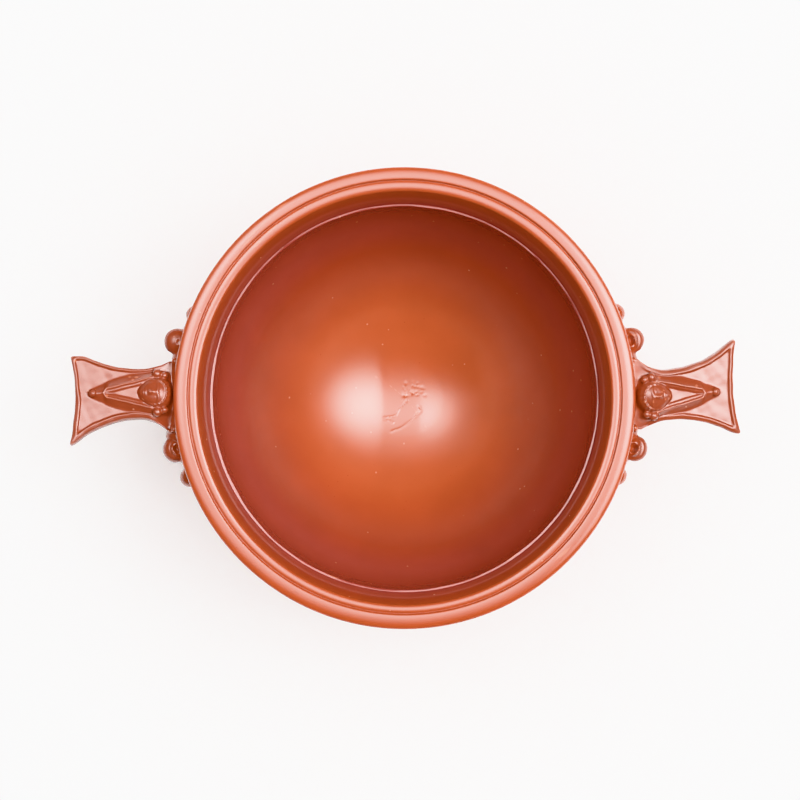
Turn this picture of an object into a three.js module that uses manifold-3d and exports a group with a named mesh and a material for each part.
// Two-handled Roman drinking cup in red-gloss pottery, one fired piece: a hemispherical bowl with a
// moulded lip and a ring foot, and two opposed handles. Each handle is a finger loop under a flared
// thumb plate with a mask in relief, and two arms that hug the wall under the lip and end in
// scrolls and buds. Millimetres, +Z up, the resting face at Z = 0, the handles along X.
import * as THREE from "three";
import { mergeVertices } from "three/addons/utils/BufferGeometryUtils.js";
import Module from "manifold-3d";

// Bowl
const RIM_RADIUS = 60;
const CUP_HEIGHT = 70;
const WALL = 4.8;
const BOWL_RADIUS = 50.3;
const LEDGE_DROP = 10;
const LEDGE_STEP = 0.6;
const LIP_HEIGHT = 6.6;
const LIP_BEAD_RADIUS = 1.05;
const LIP_GROOVE_RADIUS = 56.3;
const BOWL_SEGMENTS = 56;

// Foot ring
const FOOT_RADIUS = 27;
const FOOT_INNER_RADIUS = 21.5;
const FOOT_NECK_RADIUS = 23.4;
const FOOT_EDGE = 2.6;
const FOOT_HOLLOW = 5;

// Handle placing: each one's bearing and the turn of its thumb plate, then the plates' roll and shift
const HANDLES = [
  { bearing: 1, yaw: 4.2 },
  { bearing: 179.3, yaw: 2.3 },
];
const PLATE_ROLL = 8;
const PLATE_SHIFT = -0.4;

// Thumb plate, in the handle's own frame: U outward from the bowl axis, V sideways
const PLATE_ROOT = 56;
const PLATE_NECK = 69;
const PLATE_END = 87.5;
const PLATE_NECK_HALF = 6.7;
const PLATE_SIDE_RADIUS = 33.5;
const PLATE_FLARE_RADIUS = 11;
const PLATE_FLARE_RUN = 7.7;
const PLATE_END_SAG = 1.2;
const PLATE_LEVEL = CUP_HEIGHT - 4;
const PLATE_DEPTH = 3.6;
const BORDER_CREST = 0.6;

// Relief on the plate
const HEAD_CENTRE = 64.9;
const HEAD_HALF = [4.7, 4.3, 3.5];
const KNOB_RADIUS = 1.3;
const KNOB_OFFSET = 5;
const PENDANT_START = 65;
const PENDANT_END = 78.4;
const PENDANT_HALF = [4.4, 1.2];
const PENDANT_HEIGHT = 1.1;
const PENDANT_RIDGE = 0.6;
const BALL_CENTRE = 81;
const BALL_RADIUS = 1.15;

// Arms under the lip, with their scrolls and buds
const ARM_RADIUS = 57.6;
const ARM_LEVEL = CUP_HEIGHT - 7.8;
const ARM_SPAN = 20;
const ARM_HALF = [4, 3.3];
const ARM_TAPER = 1.5;
const SCROLL_BEARING = 13.3;
const SCROLL_CENTRE = 61.1;
const SCROLL_RADIUS = 3.5;
const SCROLL_EYE = 1.2;
const SCROLL_DEPTH = 6.2;
const SCROLL_LEVEL = CUP_HEIGHT - 4.6;
const BUD_BEARING = 20.9;
const BUD_CENTRE = 58.6;
const BUD_HALF = [3.2, 2.9, 3.2];

// Finger loop: path corners in U and Z, then the section's half width and half thickness
const LOOP_PATH = [[55, 60.6], [66, 60.9], [75.4, 56], [77, 47], [70.6, 37.6], [59, 33.4], [45.5, 32]];
const LOOP_HALF_WIDTH = 4;
const LOOP_HALF_DEPTH = 2.9;
const LOOP_ROOT_FLARE = 1.6;

const FINISH = { color: 0xb4512f, roughness: 0.38, metalness: 0 };

const wasm = await Module();
wasm.setup();

const CLOSEST = 1e-3;
const radians = THREE.MathUtils.degToRad;

// Closed solid from a geometry: shared corners merged and collapsed triangles dropped.
function solid(geometry) {
  const bare = geometry.index ? geometry.toNonIndexed() : geometry.clone();
  bare.deleteAttribute("normal");
  bare.deleteAttribute("uv");
  const merged = mergeVertices(bare, CLOSEST);
  const index = merged.index.array;
  const kept = [];
  for (let i = 0; i < index.length; i += 3) {
    const [a, b, c] = [index[i], index[i + 1], index[i + 2]];
    if (a !== b && b !== c && c !== a) kept.push(a, b, c);
  }
  const vertProperties = new Float32Array(merged.getAttribute("position").array);
  return new wasm.Manifold(new wasm.Mesh({ numProp: 3, vertProperties, triVerts: new Uint32Array(kept) }));
}

function fuse(solids) {
  return solids.reduce((whole, next) => whole.add(next));
}

// Revolved body about Z from a profile of (radius, height) that starts and ends on the axis.
function revolved(profile, segments) {
  return new THREE.LatheGeometry(profile, segments).rotateX(Math.PI / 2);
}

// Body through closed rings of equally many points, each end closed to the middle of its ring.
function loft(rings) {
  const count = rings[0].length;
  const corners = rings.flat();
  const index = [];
  for (let ring = 0; ring + 1 < rings.length; ring += 1) {
    for (let i = 0; i < count; i += 1) {
      const a = ring * count + i;
      const b = ring * count + ((i + 1) % count);
      index.push(a, b, b + count, a, b + count, a + count);
    }
  }
  for (const ring of [0, rings.length - 1]) {
    const middle = rings[ring].reduce((sum, p) => sum.add(p), new THREE.Vector3());
    corners.push(middle.divideScalar(count));
    for (let i = 0; i < count; i += 1) {
      const a = ring * count + i;
      const b = ring * count + ((i + 1) % count);
      index.push(...(ring === 0 ? [b, a] : [a, b]), corners.length - 1);
    }
  }
  const geometry = new THREE.BufferGeometry().setFromPoints(corners);
  geometry.setIndex(index);
  return geometry;
}

function arc(cx, cz, radius, from, to, steps) {
  const curve = new THREE.EllipseCurve(cx, cz, radius, radius, radians(from), radians(to), to < from);
  return curve.getPoints(steps);
}

function ellipsoid(half, centre, around, along) {
  return new THREE.SphereGeometry(1, around, along)
    .rotateX(Math.PI / 2)
    .scale(...half)
    .translate(...centre);
}

// Inner face from the lip's inner edge down to the bowl's lowest point.
function innerProfile() {
  const ledge = CUP_HEIGHT - LEDGE_DROP;
  const start = THREE.MathUtils.radToDeg(Math.asin(0.6 / BOWL_RADIUS));
  const lipInner = LIP_GROOVE_RADIUS - 2 * LIP_BEAD_RADIUS;
  const slope = new THREE.QuadraticBezierCurve(
    new THREE.Vector2(lipInner, CUP_HEIGHT - 1.6),
    new THREE.Vector2(lipInner - 1, CUP_HEIGHT - 5.5),
    new THREE.Vector2(BOWL_RADIUS + LEDGE_STEP, ledge),
  );
  return [...slope.getPoints(3), ...arc(0, ledge, BOWL_RADIUS, -start, -90, 9)];
}

// Lip from its undercut over the rounded crest and the turned groove to the inner bead.
function lipProfile() {
  const mid = CUP_HEIGHT - LIP_HEIGHT / 2;
  const bulge = 3.3;
  const bead = LIP_GROOVE_RADIUS - LIP_BEAD_RADIUS;
  return [
    ...arc(RIM_RADIUS - bulge, mid, bulge, -62, 78, 6),
    new THREE.Vector2(LIP_GROOVE_RADIUS, CUP_HEIGHT - 1),
    ...arc(bead, CUP_HEIGHT - 0.4 - LIP_BEAD_RADIUS, LIP_BEAD_RADIUS, 60, 150, 3),
  ];
}

function outerProfile() {
  const ledge = CUP_HEIGHT - LEDGE_DROP;
  const outer = BOWL_RADIUS + WALL;
  const low = THREE.MathUtils.radToDeg(Math.acos(FOOT_NECK_RADIUS / outer));
  return [
    new THREE.Vector2(0, FOOT_HOLLOW),
    new THREE.Vector2(FOOT_INNER_RADIUS - 3, FOOT_HOLLOW - 0.6),
    new THREE.Vector2(FOOT_INNER_RADIUS, 0),
    new THREE.Vector2(FOOT_RADIUS - 0.8, 0),
    new THREE.Vector2(FOOT_RADIUS, 0.8),
    new THREE.Vector2(FOOT_RADIUS - 0.2, FOOT_EDGE),
    new THREE.Vector2(FOOT_NECK_RADIUS + 0.9, FOOT_EDGE + 2),
    new THREE.Vector2(FOOT_NECK_RADIUS, FOOT_EDGE + 5),
    ...arc(0, ledge, outer, -low, 4, 8),
  ];
}

function bowl() {
  const profile = [...outerProfile(), ...lipProfile(), ...innerProfile()];
  return solid(revolved(profile, BOWL_SEGMENTS));
}

// Everything inside the bowl, up past the rim, that handle roots must stay out of.
function bowlHollow() {
  const inner = innerProfile().reverse();
  const top = CUP_HEIGHT + 5;
  const profile = [...inner, new THREE.Vector2(inner.at(-1).x, top), new THREE.Vector2(0, top)];
  return solid(revolved(profile, BOWL_SEGMENTS));
}

// Half width of the plate: arcs rising from the neck to the outer corners and to the root.
function plateHalf(u) {
  const radius = u > PLATE_NECK ? PLATE_SIDE_RADIUS : PLATE_FLARE_RADIUS;
  const run = Math.max(u - PLATE_NECK, -PLATE_FLARE_RUN);
  return PLATE_NECK_HALF + radius - Math.sqrt(radius * radius - run * run);
}

// Plate outline pulled in by a margin, at one level: both sides and the hollow outer end.
function plateRing(margin, level) {
  const end = PLATE_END - margin;
  const side = [];
  for (let i = 0; i <= 11; i += 1) {
    const u = THREE.MathUtils.lerp(PLATE_ROOT, end, i / 11);
    side.push(new THREE.Vector3(u, plateHalf(u) - margin, level));
  }
  const half = side.at(-1).y;
  const edge = [0.5, 0, -0.5].map((t) => {
    return new THREE.Vector3(end - PLATE_END_SAG * (1 - t * t), half * t, level);
  });
  const back = side.map((p) => new THREE.Vector3(p.x, -p.y, level)).reverse();
  return [...side, ...edge, ...back].reverse();
}

function plate() {
  const rings = [
    plateRing(1.2, -PLATE_DEPTH),
    plateRing(0, 0.8 - PLATE_DEPTH),
    plateRing(0.4, 0.1),
    plateRing(1.3, BORDER_CREST),
    plateRing(2.3, 0),
  ];
  return solid(loft(rings));
}

// Raised tapering body under the mask's chin, with a ridge along each flank and a ball at its tip.
function pendant() {
  const [wide, narrow] = PENDANT_HALF;
  const section = (u, half) => [
    new THREE.Vector3(u, -half - PENDANT_HEIGHT, -1),
    new THREE.Vector3(u, half + PENDANT_HEIGHT, -1),
    new THREE.Vector3(u, half, PENDANT_HEIGHT + PENDANT_RIDGE),
    new THREE.Vector3(u, half - 0.8, PENDANT_HEIGHT),
    new THREE.Vector3(u, 0.8 - half, PENDANT_HEIGHT),
    new THREE.Vector3(u, -half, PENDANT_HEIGHT + PENDANT_RIDGE),
  ];
  const body = solid(loft([section(PENDANT_START, wide), section(PENDANT_END, narrow)]));
  const ball = solid(ellipsoid([BALL_RADIUS, BALL_RADIUS, BALL_RADIUS], [BALL_CENTRE, 0, 0.5], 8, 6));
  return body.add(ball);
}

// Mask: a domed head with its chin outward, a plain nose and brow, and a knob beside each cheek.
function mask() {
  const [length, width, height] = HEAD_HALF;
  const head = new THREE.SphereGeometry(1, 14, 8).rotateX(Math.PI / 2);
  const corner = head.getAttribute("position");
  for (let i = 0; i < corner.count; i += 1) {
    const u = corner.getX(i);
    const taper = 1 - 0.2 * u;
    corner.setXYZ(i, HEAD_CENTRE + length * u, width * taper * corner.getY(i), height * corner.getZ(i));
  }
  const parts = [
    head,
    ellipsoid([1.5, 0.55, 0.7], [HEAD_CENTRE + 0.9, 0, height - 0.35], 8, 5),
    ellipsoid([0.5, 2.1, 0.5], [HEAD_CENTRE - 1.2, 0, height - 0.35], 8, 5),
  ];
  for (const side of [-1, 1]) {
    const centre = [HEAD_CENTRE - 0.6, side * KNOB_OFFSET, 0.9];
    parts.push(ellipsoid([KNOB_RADIUS, KNOB_RADIUS, KNOB_RADIUS], centre, 8, 6));
  }
  return fuse(parts.map(solid));
}

function thumbPlate(yaw) {
  const turn = new THREE.Matrix4()
    .makeTranslation(PLATE_NECK, PLATE_SHIFT, PLATE_LEVEL)
    .multiply(new THREE.Matrix4().makeRotationZ(radians(yaw)))
    .multiply(new THREE.Matrix4().makeRotationX(radians(PLATE_ROLL)))
    .multiply(new THREE.Matrix4().makeTranslation(-PLATE_NECK, 0, 0));
  return fuse([plate(), pendant(), mask()]).transform(turn.elements);
}

// Oval ring across a path: its middle, the two directions of the section and the half sizes.
function ovalRing(middle, across, up, halfAcross, halfUp, count) {
  return Array.from({ length: count }, (_, i) => {
    const turn = (2 * Math.PI * i) / count;
    return middle
      .clone()
      .addScaledVector(across, halfAcross * Math.cos(turn))
      .addScaledVector(up, halfUp * Math.sin(turn));
  });
}

// Finger loop from under the plate round to the lower wall, wider where it meets the clay.
function fingerLoop() {
  const path = new THREE.CatmullRomCurve3(LOOP_PATH.map(([u, z]) => new THREE.Vector3(u, 0, z)));
  const across = new THREE.Vector3(0, 1, 0);
  const steps = 14;
  const rings = Array.from({ length: steps + 1 }, (_, i) => {
    const t = i / steps;
    const flare = 1 + (LOOP_ROOT_FLARE - 1) * Math.pow(Math.abs(2 * t - 1), 6);
    const up = path.getTangentAt(t).cross(across);
    return ovalRing(path.getPointAt(t), across, up, LOOP_HALF_WIDTH * flare, LOOP_HALF_DEPTH, 8);
  });
  return solid(loft(rings));
}

function around(radius, bearing, level) {
  return new THREE.Vector3(
    radius * Math.cos(radians(bearing)),
    radius * Math.sin(radians(bearing)),
    level,
  );
}

// Band along the wall under the lip that carries both scrolls and both buds.
function arms() {
  const up = new THREE.Vector3(0, 0, 1);
  const steps = 12;
  const rings = Array.from({ length: steps + 1 }, (_, i) => {
    const bearing = THREE.MathUtils.lerp(ARM_SPAN, -ARM_SPAN, i / steps);
    const out = around(1, bearing, 0);
    const slim = ARM_TAPER * THREE.MathUtils.smoothstep(Math.abs(bearing), SCROLL_BEARING, ARM_SPAN);
    return ovalRing(around(ARM_RADIUS, bearing, ARM_LEVEL), out, up, ARM_HALF[0] - slim, ARM_HALF[1], 8);
  });
  return solid(loft(rings));
}

// Scroll end seen as a rolled disc: a rounded rim round a sunken eye, tapering below.
function scroll(bearing) {
  const round = (SCROLL_RADIUS - SCROLL_EYE) / 2;
  const profile = [
    new THREE.Vector2(0, -SCROLL_DEPTH),
    new THREE.Vector2(SCROLL_RADIUS * 0.6, -SCROLL_DEPTH),
    new THREE.Vector2(SCROLL_RADIUS, -SCROLL_DEPTH * 0.6),
    ...arc(SCROLL_EYE + round, -round, round, 0, 180, 4),
    new THREE.Vector2(SCROLL_EYE * 0.7, -1.6 * round),
    new THREE.Vector2(0, -1.6 * round),
  ];
  const centre = around(SCROLL_CENTRE, bearing, SCROLL_LEVEL);
  return solid(revolved(profile, 12).translate(...centre.toArray()));
}

function bud(bearing) {
  const shape = ellipsoid(BUD_HALF, [BUD_CENTRE, 0, ARM_LEVEL], 9, 6);
  return solid(shape.rotateZ(radians(bearing)));
}

function handle(yaw) {
  const parts = [thumbPlate(yaw), fingerLoop(), arms()];
  for (const side of [-1, 1]) parts.push(scroll(side * SCROLL_BEARING), bud(side * BUD_BEARING));
  return fuse(parts);
}

function geometryOf(body) {
  const { numProp, vertProperties, triVerts } = body.getMesh();
  const geometry = new THREE.BufferGeometry();
  geometry.setAttribute("position", new THREE.BufferAttribute(new Float32Array(vertProperties), numProp));
  geometry.setIndex(new THREE.BufferAttribute(new Uint32Array(triVerts), 1));
  return geometry;
}

// The outer shell alone, so that hairline pockets shut in between fused forms are clay too.
function outerShell(body) {
  const shells = solid(geometryOf(body)).decompose();
  return shells.sort((a, b) => b.volume() - a.volume())[0];
}

const hollow = bowlHollow();
const handles = HANDLES.map(({ bearing, yaw }) => {
  return handle(yaw).rotate([0, 0, bearing]).subtract(hollow);
});
const fired = outerShell(fuse([bowl(), ...handles]));
const cup = new THREE.Mesh(geometryOf(fired), new THREE.MeshStandardMaterial(FINISH));
cup.name = "cup";

const part = new THREE.Group();
part.name = "terra_sigillata_cup";
part.add(cup);

export default part;
